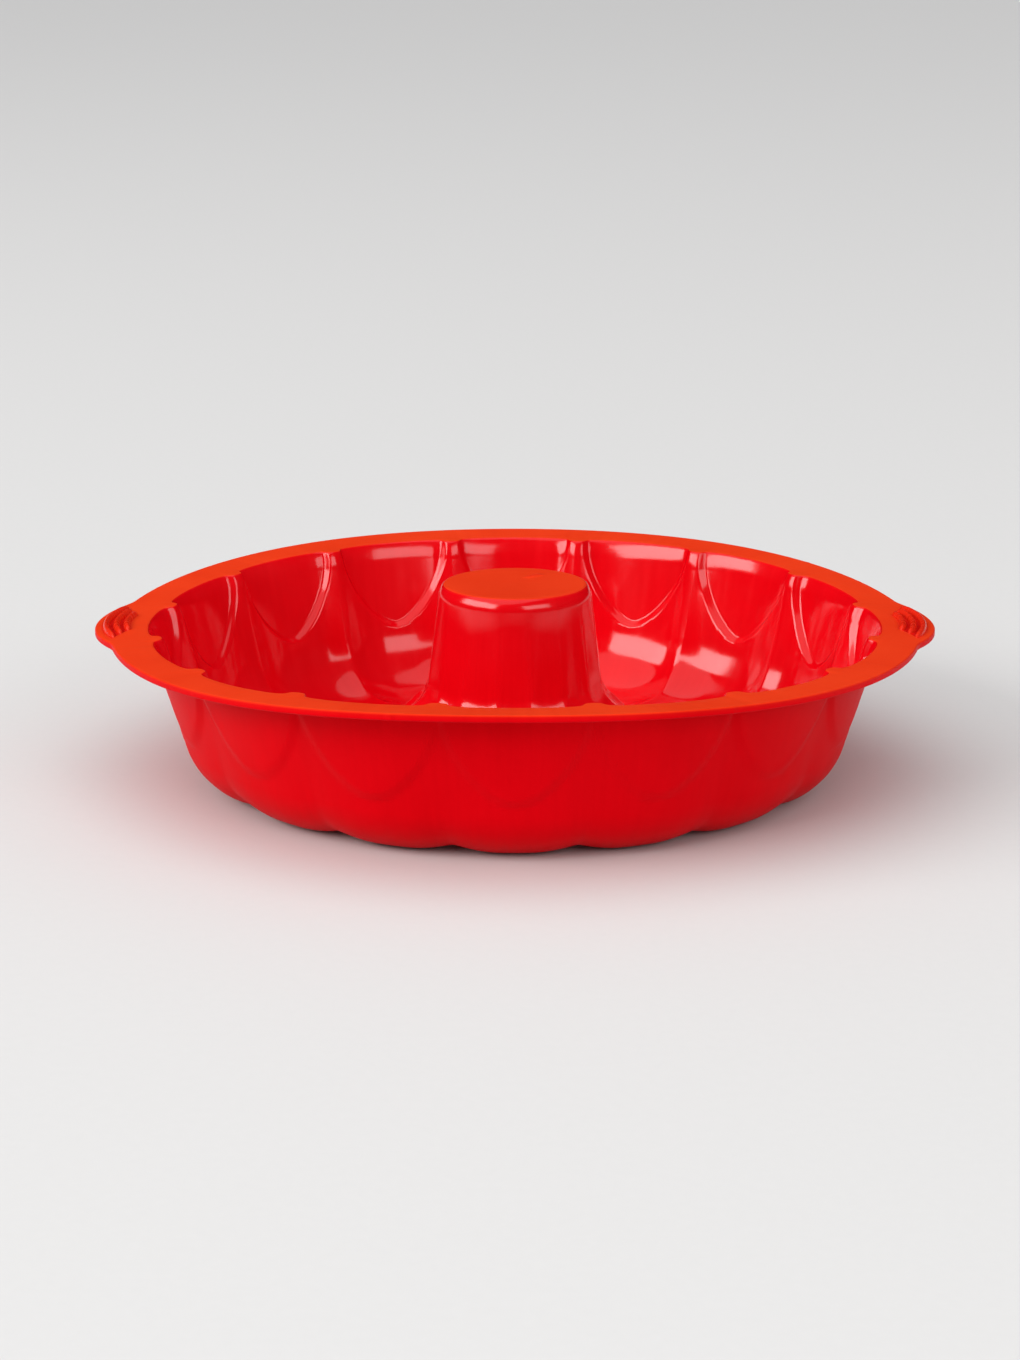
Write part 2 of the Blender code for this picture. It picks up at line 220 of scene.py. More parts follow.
def rimFront():
    # flat top of the flange, the fillet and the gentle lip, from the outside in
    m = mould
    lipRise = m["lipRadius"] * (sin(wallNormal) - sin(lipNormal))
    filletRise = m["rimFillet"] * (sin(lipNormal) - sin(flangeNormal))
    lipOut = m["lipRadius"] * (cos(wallNormal) - cos(lipNormal))
    filletOut = m["rimFillet"] * (cos(lipNormal) - cos(flangeNormal))
    endR, endZ = m["mouthRadius"], m["rimHeight"]
    for _ in range(20):  # the flange rises where the fillet ends, so the place is found step by step
        startZ = endZ - lipRise - filletRise
        startR = m["mouthRadius"] - (m["rimHeight"] - startZ) * tan(m["wallLean"])
        endR = startR + lipOut + filletOut
        endZ = flangeTop(endR)
    lipR = startR + m["lipRadius"] * cos(wallNormal)
    lipZ = startZ + m["lipRadius"] * sin(wallNormal)
    filletR = endR + m["rimFillet"] * cos(flangeNormal)
    filletZ = endZ + m["rimFillet"] * sin(flangeNormal)
    fillet = arc(filletR, filletZ, -m["rimFillet"], (flangeNormal, lipNormal), ("rim", "rim"), push=0.0)
    lip = arc(lipR, lipZ, -m["lipRadius"], (lipNormal, wallNormal), ("rim", "rim"), push=0.0)
    return [flatEnd(fillet, flangeTop(m["earRoot"])), fillet, lip]


def rimBack():
    # underside of the flange and its fillet, from where the underside meets the outside of the wall
    m = mould
    slope, lean = tan(m["flangeRise"]), tan(m["wallLean"])
    wallR = m["mouthRadius"] + m["skin"] / cos(m["wallLean"])
    topZ = m["rimHeight"] - m["flangeThickness"]
    cornerR = (wallR - (m["rimHeight"] - topZ + m["mouthRadius"] * slope) * lean) / (1 - slope * lean)
    cornerZ = topZ + (cornerR - m["mouthRadius"]) * slope
    tangent = m["underFillet"] * tan((wallNormal - flangeNormal) / 2)
    r = cornerR + tangent * cos(m["flangeRise"]) + m["underFillet"] * cos(flangeNormal)
    z = cornerZ + tangent * sin(m["flangeRise"]) + m["underFillet"] * sin(flangeNormal)
    fillet = arc(r, z, -m["underFillet"], (flangeNormal, wallNormal), ("rimOut", "rimOut"), push=0.0)
    return [flatEnd(fillet, flangeTop(m["earRoot"]) - m["flangeThickness"]), fillet]


def tubeStretch(offset, steps=400):
    # the top edge of the tube, two arcs that meet smoothly, and the middle of the disc that closes it
    m = mould
    startZ = tubeTop - tubeEdgeHeight()
    slowR = m["tubeTopRadius"] - m["tubeShoulder"] * cos(m["tubeDraft"])
    slowZ = startZ - m["tubeShoulder"] * sin(m["tubeDraft"])
    apart = m["tubeShoulder"] - m["tubeEdge"]
    quickR = slowR + apart * cos(m["tubeLean"])
    quickZ = slowZ + apart * sin(m["tubeLean"])
    arcs = ((slowR, slowZ, m["tubeShoulder"], m["tubeDraft"], m["tubeLean"]),
            (quickR, quickZ, m["tubeEdge"], m["tubeLean"], pi / 2))
    edges = []
    for centreR, centreZ, radius, start, end in arcs:
        turned = np.linspace(start, end, steps)
        crease = np.interp(turned, [m["tubeDraft"], pi / 2], [relief["creases"]["top"], 0])
        r = centreR + (radius - offset) * np.cos(turned)
        z = centreZ + (radius - offset) * np.sin(turned)
        edges.append(stations(r, z, -pi - turned, -pi, 1.0, crease, relief["softness"]["top"],
                              relief["crowns"]["top"]))
    middle = edges[1][-1:].copy()
    middle[0, 0] = 0.0
    return edges + [middle]


def sectionLine(parts):
    # joins parts into one table with the length along it, and gives the length at each part's start
    table = np.concatenate(parts)
    steps = np.hypot(*np.diff(table[:, :2], axis=0).T)
    length = np.concatenate([[0], np.cumsum(steps)])
    starts = np.cumsum([0] + [len(part) for part in parts[:-1]])
    kept = np.concatenate([[True], steps > 1e-9])
    return {"table": table[kept], "length": length[kept], "starts": length[starts], "end": length[-1]}


def alongLine(line, s):
    # every column of the table, read off at the lengths s
    return [np.interp(s, line["length"], column) for column in line["table"].T]


def lengthAtHeight(line, start, end, z):
    # length where the line passes height z on its way down, between two lengths
    inside = (line["length"] >= start) & (line["length"] <= end)
    heights, lengths = line["table"][inside, 1], line["length"][inside]
    return float(np.interp(-z, -heights, lengths))


# the section on the trough side and on the outer side, and the lengths at which its stretches start
skin = mould["skin"]
front = sectionLine(rimFront() + turnInside() + [dishArc(0), footArc(0)] + tubeStretch(0))
back = sectionLine(rimBack() + turnOutside() + [dishArc(skin), footArc(skin)] + tubeStretch(skin))
frontAt = dict(zip(["rim", "fillet", "lip", "shoulder", "quick", "dish", "foot", "tube", "edge", "disc"],
                   front["starts"]))
backAt = dict(zip(["rim", "fillet", "turn", "dish", "foot", "tube", "edge", "disc"], back["starts"]))
skinDrop = skin * sin(mould["wallLean"])
partingZ = mould["rimHeight"] - mould["parting"]
turnZ = alongLine(back, backAt["turn"])[1] + skinDrop
frontAt["wall"] = lengthAtHeight(front, frontAt["lip"], frontAt["shoulder"], partingZ)
frontAt["turn"] = lengthAtHeight(front, frontAt["lip"], frontAt["dish"], turnZ)
backAt["wall"] = lengthAtHeight(back, backAt["fillet"], backAt["turn"], partingZ - skinDrop)
frontAt["floor"] = frontAt["quick"] + mould["troughTurn"] * (pi / 2 - mould["shoulderLean"])
backAt["floor"] = backAt["turn"] + (mould["turnRadius"] + skin) * (wallNormal - floorNormal)
frontAt["end"], backAt["end"] = front["end"], back["end"]


def lobePhase(angle):
    # place across a lobe: 0 in its middle, half a lobe either way at the creases
    return (angle / pitch + 0.5) % 1.0 - 0.5


def panelHalf(drop):
    # half the width of the arched panel, as a share of the lobe: a power curve, full at the rim, 0 at the tip
    # and negative past it
    closing = 1 - np.clip(drop / relief["panelDepth"], 0, None) ** relief["panelCurve"]
    return relief["panelShare"] / 2 * np.sign(closing) * np.abs(closing) ** relief["panelClose"]


def panelMask(phase, drop, r, ease, tip):
    # 1 on the panel and 0 off it: the distance to the arch, allowing for its slope, through a smooth step
    arcLength = pitch * r
    away = np.sqrt((phase * arcLength) ** 2 + tip**2) - tip
    near = 0.0004  # the slope is taken between this far above and below
    steep = (panelHalf(drop - near) - panelHalf(drop + near)) / (2 * near) * arcLength
    inside = (panelHalf(drop) * arcLength - away) / np.sqrt(1 + steep**2)
    step = np.clip(inside / ease + 0.5, 0, 1)
    return step**3 * (step * (6 * step - 15) + 10)


def scallop(phase, soft, crown):
    # 0 over the crown and rising as a parabola to the crease, which is rounded by soft
    fromCrease = np.sqrt((0.5 - np.abs(phase)) ** 2 + soft**2)
    across = np.clip(1 - 2 * fromCrease, 0, None)
    return np.clip((across - crown) / (1 - crown), 0, None) ** 2


def droop(x, y, z):
    # the soft flange sags at the two ears and between them and the front, fading inwards and down the wall
    r = np.maximum(np.hypot(x, y), 1e-6)
    ears = droopOf["depth"] * np.abs(x / r) ** droopOf["turn"]
    corners = (droopOf["front"] - droopOf["frontSkew"] * x / r) * (2 * x / r * np.clip(y / r, -1, 0)) ** 2
    fade = (r / earTip) ** droopOf["spread"] * np.clip(z / mould["rimHeight"], 0, 1) ** droopOf["rise"]
    return z - (ears + corners) * fade


def mouldSkin(line, step, ease, tip, deeper, inner):
    # point(angle, s): the turned section with its relief pushed out, then drooped; where inner is 1 there
    # are also the ribs between the panels, a bell across and down, and the waves on the floor
    def point(angle, s):
        r, z, _, push, share, crease, soft, crown = alongLine(line, s)
        phase = lobePhase(angle)
        onWall = push > floorNormal + 1e-6
        drop = mould["rimHeight"] - z
        panel = step * panelMask(phase, drop * deeper, r, ease, tip)
        fromCrease = (0.5 - np.abs(phase)) * pitch * r / relief["ribWidth"]
        rib = relief["ribHeight"] * np.exp(-fromCrease**2 - (drop / relief["ribFade"]) ** 2)
        swing = relief["rippleBend"] * np.cos(4 * pi * phase) + np.sin(angle * relief["rippleTurns"])
        wave = relief["ripple"] * np.sin(2 * pi * (r / relief["rippleLength"] + swing))
        wave = wave * np.exp(-((r - relief["rippleMiddle"]) / relief["rippleReach"]) ** 4)
        pressed = np.where(onWall, panel - rib * inner, 0.0) + wave * inner * (z < relief["rippleTop"])
        out = share * (pressed - crease * scallop(phase, soft, crown))
        r = r + np.cos(push) * out
        z = z + np.sin(push) * out
        x, y = r * np.cos(angle), r * np.sin(angle)
        return np.stack([x, y, droop(x, y, z)], axis=-1)
    return point


frontSkin = mouldSkin(front, relief["panelStep"], relief["panelEase"], relief["panelTip"], 1.0, 1)
backSkin = mouldSkin(back, relief["backStep"], relief["backEase"], relief["backTip"],
                     relief["panelDepth"] / (relief["panelDepth"] + relief["backDeeper"]), 0)


def normalsOf(point, u, v, du=4e-4, dv=1e-4):
    # cross product of the two directions of the surface, from small steps either way
    alongU = point(u + du, v) - point(u - du, v)
    alongV = point(u, v + dv) - point(u, v - dv)
    normal = np.cross(alongU, alongV)
    return normal / np.maximum(np.linalg.norm(normal, axis=-1, keepdims=True), 1e-12)


def gridQuads(rows, columns, closedRows, closedColumns):
    # the four corners of every square of a grid, which may close on itself either way
    row = np.arange(rows if closedRows else rows - 1)[:, None]
    column = np.arange(columns if closedColumns else columns - 1)[None, :]
    nextRow, nextColumn = (row + 1) % rows, (column + 1) % columns
    corners = [row * columns + column, row * columns + nextColumn]
    corners += [nextRow * columns + nextColumn, nextRow * columns + column]
    return np.stack(np.broadcast_arrays(*corners), axis=-1).reshape(-1, 4)


def facedOut(points, normals, quads):
    # turns the quads over if they look against the skin's own normals
    corner = points.reshape(-1, 3)[quads]
    face = np.cross(corner[:, 2] - corner[:, 0], corner[:, 3] - corner[:, 1])
    agree = np.einsum("ij,ij->i", face, normals.reshape(-1, 3)[quads].mean(axis=1)).sum()
    return quads if agree > 0 else quads[:, ::-1]


def bodyOf(points, normals, finish, uv, quads, caps=()):
    # what a piece's mesh is joined from; caps are the faces with more than four corners
    return {"points": points, "normals": normals, "finish": finish, "uv": uv, "quads": quads, "caps": caps}


def closedBody(points, normals, finish, uv):
    # a grid that closes round its columns, with one face over the first row and one over the last
    rows, columns = points.shape[:2]
    quads = facedOut(points, normals, gridQuads(rows, columns, False, True))
    first = np.arange(columns)
    last = first + (rows - 1) * columns
    kept = quads[0, 0] == 0 and quads[0, 1] == 1  # the quads weren't turned over
    caps = [first[::-1], last] if kept else [first, last[::-1]]
    return bodyOf(points, normals, finish, uv, quads, caps)


def meshPiece(name, bodies):
    # the bodies' grids and caps joined into one object at the origin
    points, normals, finish, uv, quads, caps = [], [], [], [], [], []
    count = 0
    for body in bodies:
        points.append(body["points"].reshape(-1, 3))
        normals.append(body["normals"].reshape(-1, 3))
        finish.append(body["finish"].reshape(-1))
        uv.append(body["uv"].reshape(-1, 2))
        quads.append(body["quads"] + count)
        caps += [(cap + count).tolist() for cap in body["caps"]]
        count += len(points[-1])
    mesh = bpy.data.meshes.new(name)
    mesh.from_pydata(np.concatenate(points), [], np.concatenate(quads).tolist() + caps)
    mesh.shade_smooth()
    attribute = mesh.attributes.new("finish", "FLOAT", "POINT")
    attribute.data.foreach_set("value", np.concatenate(finish).astype(np.float32))
    corner = np.empty(len(mesh.loops), np.int32)
    mesh.loops.foreach_get("vertex_index", corner)
    layer = mesh.uv_layers.new(name="flow")
    layer.uv.foreach_set("vector", np.concatenate(uv)[corner].astype(np.float32).ravel())
    mesh.normals_split_custom_set_from_vertices(np.concatenate(normals))
    piece = bpy.data.objects.new(name, mesh)
    bpy.context.scene.collection.objects.link(piece)
    return piece


# where the gloss turns into the satin of what faces up, by how far the surface has tilted; what faces up also
# gets a painted orange reflection in its colour
upSatinAndPaintedReflection = {"finish": 0.5, "rimFrom": radians(52), "edgeFrom": radians(48), "over": radians(22)}


def finishAlong(line, rows):
    # 1 is gloss, 0.5 the satin of everything that faces up at the rim, whose colour holds a painted orange
    # reflection, 0 the satin of the outer side
    if line is back:
        return np.zeros(len(rows))
    tilt = -alongLine(line, rows)[2]
    upRim = np.clip((tilt - upSatinAndPaintedReflection["rimFrom"]) / upSatinAndPaintedReflection["over"], 0, 1) * (rows < frontAt["lip"])
    upEdge = np.clip((tilt - pi - upSatinAndPaintedReflection["edgeFrom"]) / upSatinAndPaintedReflection["over"], 0, 1) * (rows > frontAt["tube"])
    return 1 - (1 - upSatinAndPaintedReflection["finish"]) * np.maximum(upRim, upEdge)


# how the columns round the pan gather between a lobe's middle and its crease, in shares of the lobe
gather = {
    "perHalf": 28,
    "band": 0.052,              # either side of the arch's edge
    "bandFrom": 0.3,            # shares of the columns up to the band and up to its end
    "bandTo": 0.7,
    "leastHalf": 0.10,
    "floorPower": 1.5,          # towards the crease on the floor
    "floorDrop": 0.0300,        # metres below the rim where the floor's way begins
    "floorBlend": 0.0090,
    "floorInside": 0.0660,      # inside this radius everything goes the floor's way
}


def lobeAngles(drop):
    # angles round the pan for each row, gathered along the arch's edge on the wall and at the creases below
    u = np.linspace(0, 1, gather["perHalf"] + 1)[None, :]
    half = np.clip(panelHalf(drop), gather["leastHalf"], None)[:, None]
    inner, outer = half - gather["band"], half + gather["band"]
    before, after = gather["bandFrom"], gather["bandTo"]
    onBand = inner + (outer - inner) * (u - before) / (after - before)
    pastBand = outer + (0.5 - outer) * (u - after) / (1 - after)
    onWall = np.where(u < before, inner * u / before, np.where(u < after, onBand, pastBand))
    onFloor = 0.5 * (1 - (1 - u) ** gather["floorPower"])
    blend = np.clip((drop[:, None] - gather["floorDrop"]) / gather["floorBlend"], 0, 1)
    phase = onWall + (onFloor - onWall) * blend * blend * (3 - 2 * blend)
    phase = np.concatenate([phase, 1 - phase[:, -2:0:-1]], axis=1)
    lobe = np.arange(mould["lobes"])[None, :, None]
    return ((lobe + phase[:, None, :]) * pitch).reshape(len(drop), -1)


def skinGrid(point, line, rows, angle):
    # points, normals out of the silicone, finish and flow over one side, row by row
    s = np.broadcast_to(rows[:, None], angle.shape)
    normals = normalsOf(point, angle, s) * (1 if line is front else -1)
    finish = np.broadcast_to(finishAlong(line, rows)[:, None], angle.shape)
    return [point(angle, s), normals, finish, np.stack([angle / (2 * pi), s], axis=-1)]


def ringBody(frontRows, backRows):
    # a closed ring of silicone: inwards along frontRows on the trough side, back along backRows outside
    sides = []
    for point, line, rows in ((frontSkin, front, frontRows), (backSkin, back, backRows[::-1])):
        r, z = alongLine(line, rows)[:2]
        drop = np.where(r < gather["floorInside"], mould["rimHeight"], mould["rimHeight"] - z)
        sides.append(skinGrid(point, line, rows, lobeAngles(drop)))
    points, normals, finish, uv = (np.concatenate(pair) for pair in zip(*sides))
    quads = facedOut(points, normals, gridQuads(*points.shape[:2], True, True))
    return bodyOf(points, normals, finish, uv, quads)


def spread(start, end, spacing):
    # lengths from start to end, at most spacing apart, and never fewer than three
    return np.linspace(start, end, max(int(np.ceil(abs(end - start) / spacing)) + 1, 3))


# the ears, and the soft edge that they share with the flange
earShape = {
    "arc": 0.0490,
    "shoulder": radians(1.8),   # the ear's piece starts this far before its arc leaves the circle
    "blend": 0.0012,            # how softly the arc joins the circle
    "within": 0.5,              # radians from the ears' axis past which there is only the circle
    "edgeRadius": 0.0006,
    "columns": 141,
}
earCentre = earTip - earShape["arc"]
earFoot = acos((flangeRadius**2 + earCentre**2 - earShape["arc"]**2) / (2 * flangeRadius * earCentre))
earHalf = earFoot + earShape["shoulder"]

# small bits of flash left on the flange's edge: where, how far out, how wide
flashNibs = [(radians(-106), 0.00035, 0.0009), (radians(-61), 0.0002, 0.0007), (radians(38), 0.00025, 0.0008)]

# the flange's outer band: steps on top, round the corner, down the edge, round the lower corner and below
band = {
    "steps": (24, 6, 4, 6, 8),
    "columns": 361,
    # the band's top takes the satin of what faces up, with its painted orange reflection; its edge and
    # underside take the outer side's
    "finish": ((0, 1.2, 2, 3), (0.5, 0.5, 0.05, 0.0)),  # satin on top, that of the outer side below
    "flow": 0.003,              # length of each step in the flow streaks
}
bandRows = np.concatenate([np.linspace(place, place + 1, steps, endpoint=False)
                           for place, steps in enumerate(band["steps"])] + [[len(band["steps"])]])

# three beads on each ear, counted from the tip inwards; finish and soft are those of the patch under them
ribs = {
    "count": 3,
    "inset": 0.0036,            # from the ear's edge to the first
    "pitch": 0.0033,
    "halfWidth": 0.00115,
    "height": 0.0016,
    "halfLength": 0.0200,
    "shorter": 0.0045,          # from one to the next
    "sunk": 0.0006,
    # the beads' and the patch's finish: the nearer to gloss, the less painted orange reflection in their
    # colour
    "crest": 0.74,
    "finish": 0.92,
    "soft": 0.0014,
    "round": 9,                 # how late a bead closes towards its ends
    "rows": 97,
    "gather": 1.8,              # of the rows, towards the ends
    "columns": 28,
    "flow": (0.02, 0.001),      # along and round, in the flow streaks
}


def flangeOutline(angle):
    # the flange's circle joined softly to the ears' own arcs, with the flash as bells on the edge
    fromAxis = np.abs((angle + pi / 2) % pi - pi / 2)
    root = np.sqrt(np.clip(earShape["arc"] ** 2 - (earCentre * np.sin(fromAxis)) ** 2, 0, None))
    ear = np.where(fromAxis < earShape["within"], earCentre * np.cos(fromAxis) + root, 0)
    apart = (ear - flangeRadius) / earShape["blend"]
    joined = flangeRadius + earShape["blend"] * np.where(apart > -1, np.clip((apart + 1) / 2, 0, None) ** 2, 0)
    outline = np.where(apart > 1, ear, joined)
    for place, reach, width in flashNibs:
        away = ((angle - place + pi) % (2 * pi) - pi) * flangeRadius / width
        outline = outline + reach * np.exp(-away**2)
    return outline


def bandPoint(angle, v):
    # v is 0..1 out on top, 1..2 round the upper corner, 2..3 down the edge, 3..4 lower corner, 4..5 back below
    root, edge, thick = mould["earRoot"], earShape["edgeRadius"], mould["flangeThickness"]
    reach = flangeOutline(angle) - root
    top = np.clip(v, 0, 1)
    upperTurn = np.clip(v - 1, 0, 1) * pi / 2
    side = np.clip(v - 2, 0, 1)
    lowerTurn = np.clip(v - 3, 0, 1) * pi / 2
    below = np.clip(v - 4, 0, 1)
    out = (reach - edge) * (top - below) + edge * (np.sin(upperTurn) - (1 - np.cos(lowerTurn)))
    down = edge * (1 - np.cos(upperTurn)) + (thick - 2 * edge) * side + edge * np.sin(lowerTurn)
    r = root + out
    x, y = r * np.cos(angle), r * np.sin(angle)
    return np.stack([x, y, droop(x, y, flangeTop(r)) - down], axis=-1)


def ribbedShare(points):
    # 1 on the glossy patch of the ear that the beads stand on, 0 off it, by the distance to its edge
    x, y = np.abs(points[..., 0]) - earCentre, points[..., 1]
    inwards = earShape["arc"] - np.hypot(x, y)
    middle = ribs["inset"] + (ribs["count"] - 1) / 2 * ribs["pitch"]
    halfDeep = middle - ribs["inset"] + ribs["halfWidth"]
    halfLong = ribs["halfLength"] - ribs["shorter"] * (inwards - ribs["inset"]) / ribs["pitch"]
    room = np.minimum(halfDeep - np.abs(inwards - middle), halfLong - np.abs(y))
    return np.clip(room / ribs["soft"] + 0.5, 0, 1)


def bandBody(start, end, columns):
    # a stretch of the outer band between two angles, closed at both ends
    angle, v = np.meshgrid(np.linspace(start, end, columns), bandRows)
    points = bandPoint(angle, v)
    normals = -normalsOf(bandPoint, angle, v, dv=2e-3)
    quads = facedOut(points, normals, gridQuads(*angle.shape, True, False))
    rows = np.arange(len(bandRows)) * columns
    finish = np.interp(v, *band["finish"])
    finish = finish + (ribs["finish"] - upSatinAndPaintedReflection["finish"]) * ribbedShare(points) * (v <= 1)
    uv = np.stack([angle / (2 * pi), v * band["flow"]], axis=-1)
    return bodyOf(points, normals, finish, uv, quads, [rows, rows[::-1] + columns - 1])


# the silicone: each finish runs over three stops, the outer side, what faces up at the rim and the gloss; the
# orange in the middle stop's colours is a painted reflection of warm surroundings, and the reddened specular
# tints of the outer and middle stops are painted reflections too
silicone = {
    "stops": (0.0, 0.5, 1.0),
    # deep and light are orange at the middle stop: a painted reflection on what faces up
    "deep": ((0.61, 0.0004, 0.0036), (0.68, 0.029, 0.0040), (0.64, 0.0004, 0.0036)),
    "light": ((0.70, 0.0008, 0.0050), (0.77, 0.044, 0.0068), (0.73, 0.0010, 0.0056)),
    "specular": (0.06, 0.13, 0.66),
    # painted reflection: the specular tint colours what the satin mirrors red on the outer side and orange on
    # what faces up
    "paintedReflectionTint": ((1.0, 0.10, 0.10), (1.0, 0.34, 0.12), (1.0, 0.95, 0.95)),
    "ior": 1.45,
    "glossRoughness": (0.48, 0.42, 0.095),
    "tubeRoughness": (0.48, 0.42, 0.12),
    "satinRoughness": (0.46, 0.40, 0.11),
    # patterns: scale, detail and roughness
    "clouds": (22, 3, 0.55),
    "streaks": (1.0, 3, 0.55),
    "smudges": (46, 4, 0.6),
    "grain": (2600, 2, 0.55),
    "peel": (330, 2, 0.55),
    "streakScale": (260, 34, 1),        # round the pan and along the section
    # what the patterns do: from, to, and how much at most
    "cloudTone": (0.3, 0.7, 0.7),
    "streakTone": (0.35, 0.7, 0.3),
    "smudgeSmear": (0.45, 0.70, 0.035),
    "streakSmear": (0.50, 0.78, 0.04),
    # bumps: height in metres and strength
    "grainBump": (0.00008, 0.35),
    "peelBump": (0.00003, 0.2),
    "grainFade": 1.15,                  # less the finish: the gloss has hardly any grain
    "streakBump": 3.0,                  # against the peel's
}


def noiseNode(tree, vector, scale, detail, roughness):
    node = tree.nodes.new("ShaderNodeTexNoise")
    node.inputs["Scale"].default_value = scale
    node.inputs["Detail"].default_value = detail
    node.inputs["Roughness"].default_value = roughness
    tree.links.new(vector, node.inputs["Vector"])
    return node.outputs["Fac"]


def rangeNode(tree, value, low, high, most):
    # 0 up to low, rising straight to most at high
    node = tree.nodes.new("ShaderNodeMapRange")
    for name, number in (("From Min", low), ("From Max", high), ("To Min", 0.0), ("To Max", most)):
        node.inputs[name].default_value = number
    tree.links.new(value, node.inputs["Value"])
    return node.outputs["Result"]


def mathNode(tree, kind, first, second):
    node = tree.nodes.new("ShaderNodeMath")
    node.operation = kind
    for socket, value in zip(node.inputs, (first, second)):
        if isinstance(value, (int, float)):
            socket.default_value = value
        else:
            tree.links.new(value, socket)
    return node.outputs["Value"]


def mixColour(tree, factor, first, second):
    node = tree.nodes.new("ShaderNodeMix")
    node.data_type = "RGBA"
    tree.links.new(factor, node.inputs[0])
    for socket, value in ((node.inputs[6], first), (node.inputs[7], second)):
        if isinstance(value, tuple):
            socket.default_value = (*value, 1.0)
        else:
            tree.links.new(value, socket)
    return node.outputs[2]


def rampNode(tree, factor, values):
    # one value or colour per stop of the finish
    node = tree.nodes.new("ShaderNodeValToRGB")
    ramp = node.color_ramp
    while len(ramp.elements) < len(values):
        ramp.elements.new(0.5)
    for element, stop, value in zip(ramp.elements, silicone["stops"], values):
        element.position = stop
        element.color = (*value, 1.0) if isinstance(value, tuple) else (value, value, value, 1.0)
    tree.links.new(factor, node.inputs["Fac"])
    return node.outputs["Color"]


def bumpNode(tree, height, distance, strength, normal=None):
    node = tree.nodes.new("ShaderNodeBump")
    node.inputs["Strength"].default_value = strength
    node.inputs["Distance"].default_value = distance
    tree.links.new(height, node.inputs["Height"])
    if normal is not None:
        tree.links.new(normal, node.inputs["Normal"])
    return node.outputs["Normal"]


def siliconeMaterial(name, roughness):
    # moulded silicone: soft cloudy colour, flow streaks, smudged gloss and a fine skin texture; the colour and
    # specular tint follow the finish, which paints an orange reflection on what faces up
    material = bpy.data.materials.new(name)
    material.use_nodes = True
    tree = material.node_tree
    shader = tree.nodes["Principled BSDF"]
    shader.inputs["IOR"].default_value = silicone["ior"]
    place = tree.nodes.new("ShaderNodeTexCoord").outputs["Object"]
    finishNode = tree.nodes.new("ShaderNodeAttribute")
    finishNode.attribute_name = "finish"
    finish = finishNode.outputs["Fac"]
    flow = tree.nodes.new("ShaderNodeUVMap")
    flow.uv_map = "flow"
    stretch = tree.nodes.new("ShaderNodeMapping")
    stretch.inputs["Scale"].default_value = silicone["streakScale"]
    tree.links.new(flow.outputs["UV"], stretch.inputs["Vector"])

    clouds, smudges, grain, peel = (noiseNode(tree, place, *silicone[pattern])
                                    for pattern in ("clouds", "smudges", "grain", "peel"))
    streaks = noiseNode(tree, stretch.outputs["Vector"], *silicone["streaks"])

    tone = mathNode(tree, "ADD", rangeNode(tree, clouds, *silicone["cloudTone"]),
                    rangeNode(tree, streaks, *silicone["streakTone"]))
    # colour and specular tint by finish: the orange at its middle stop is a painted reflection
    deep, light = (rampNode(tree, finish, silicone[shade]) for shade in ("deep", "light"))
    tree.links.new(mixColour(tree, tone, deep, light), shader.inputs["Base Color"])
    tree.links.new(rampNode(tree, finish, silicone["specular"]), shader.inputs["Specular IOR Level"])
    tree.links.new(rampNode(tree, finish, silicone["paintedReflectionTint"]), shader.inputs["Specular Tint"])

    smear = mathNode(tree, "ADD", rangeNode(tree, smudges, *silicone["smudgeSmear"]),
                     rangeNode(tree, streaks, *silicone["streakSmear"]))
    rough = mathNode(tree, "ADD", rampNode(tree, finish, roughness), smear)
    tree.links.new(rough, shader.inputs["Roughness"])

    satin = mathNode(tree, "SUBTRACT", silicone["grainFade"], finish)
    fine = bumpNode(tree, mathNode(tree, "MULTIPLY", grain, satin), *silicone["grainBump"])
    uneven = mathNode(tree, "ADD", peel, mathNode(tree, "MULTIPLY", streaks, silicone["streakBump"]))
    soft = bumpNode(tree, uneven, *silicone["peelBump"], fine)
    tree.links.new(soft, shader.inputs["Normal"])
    return material


glossRed = siliconeMaterial("glossSilicone", silicone["glossRoughness"])
tubeRed = siliconeMaterial("tubeSilicone", silicone["tubeRoughness"])
satinRed = siliconeMaterial("satinSilicone", silicone["satinRoughness"])
print("made 3 silicone finishes")


def finishPiece(piece, node, material):
    # the piece gets its silicone material and its body, and the node it stands for is hidden
    piece.data.materials.append(material)
    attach(piece, "root")
    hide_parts(node)
    print("made", piece.name, len(piece.data.polygons), "faces")


# the rim's rows: how far apart they are, at most
rimRows = {"flange": 0.0006, "fillet": 0.00025, "lip": 0.0005, "under": 0.0010, "underFillet": 0.0004}


def makeRim():
    # a ring from the band's root to the parting line, and the two stretches of band between the ears
    over = np.concatenate([spread(frontAt["rim"], frontAt["fillet"], rimRows["flange"])[:-1],
                           spread(frontAt["fillet"], frontAt["lip"], rimRows["fillet"])[:-1],
                           spread(frontAt["lip"], frontAt["wall"], rimRows["lip"])])
    under = np.concatenate([spread(backAt["rim"], backAt["fillet"], rimRows["under"])[:-1],
                            spread(backAt["fillet"], backAt["wall"], rimRows["underFillet"])])
    bodies = [ringBody(over, under)]
    for start in (0.0, pi):
        bodies.append(bandBody(start + earHalf, start + pi - earHalf, band["columns"]))
    return meshPiece("rimFlange", bodies)


finishPiece(makeRim(), "rim_flange", satinRed)

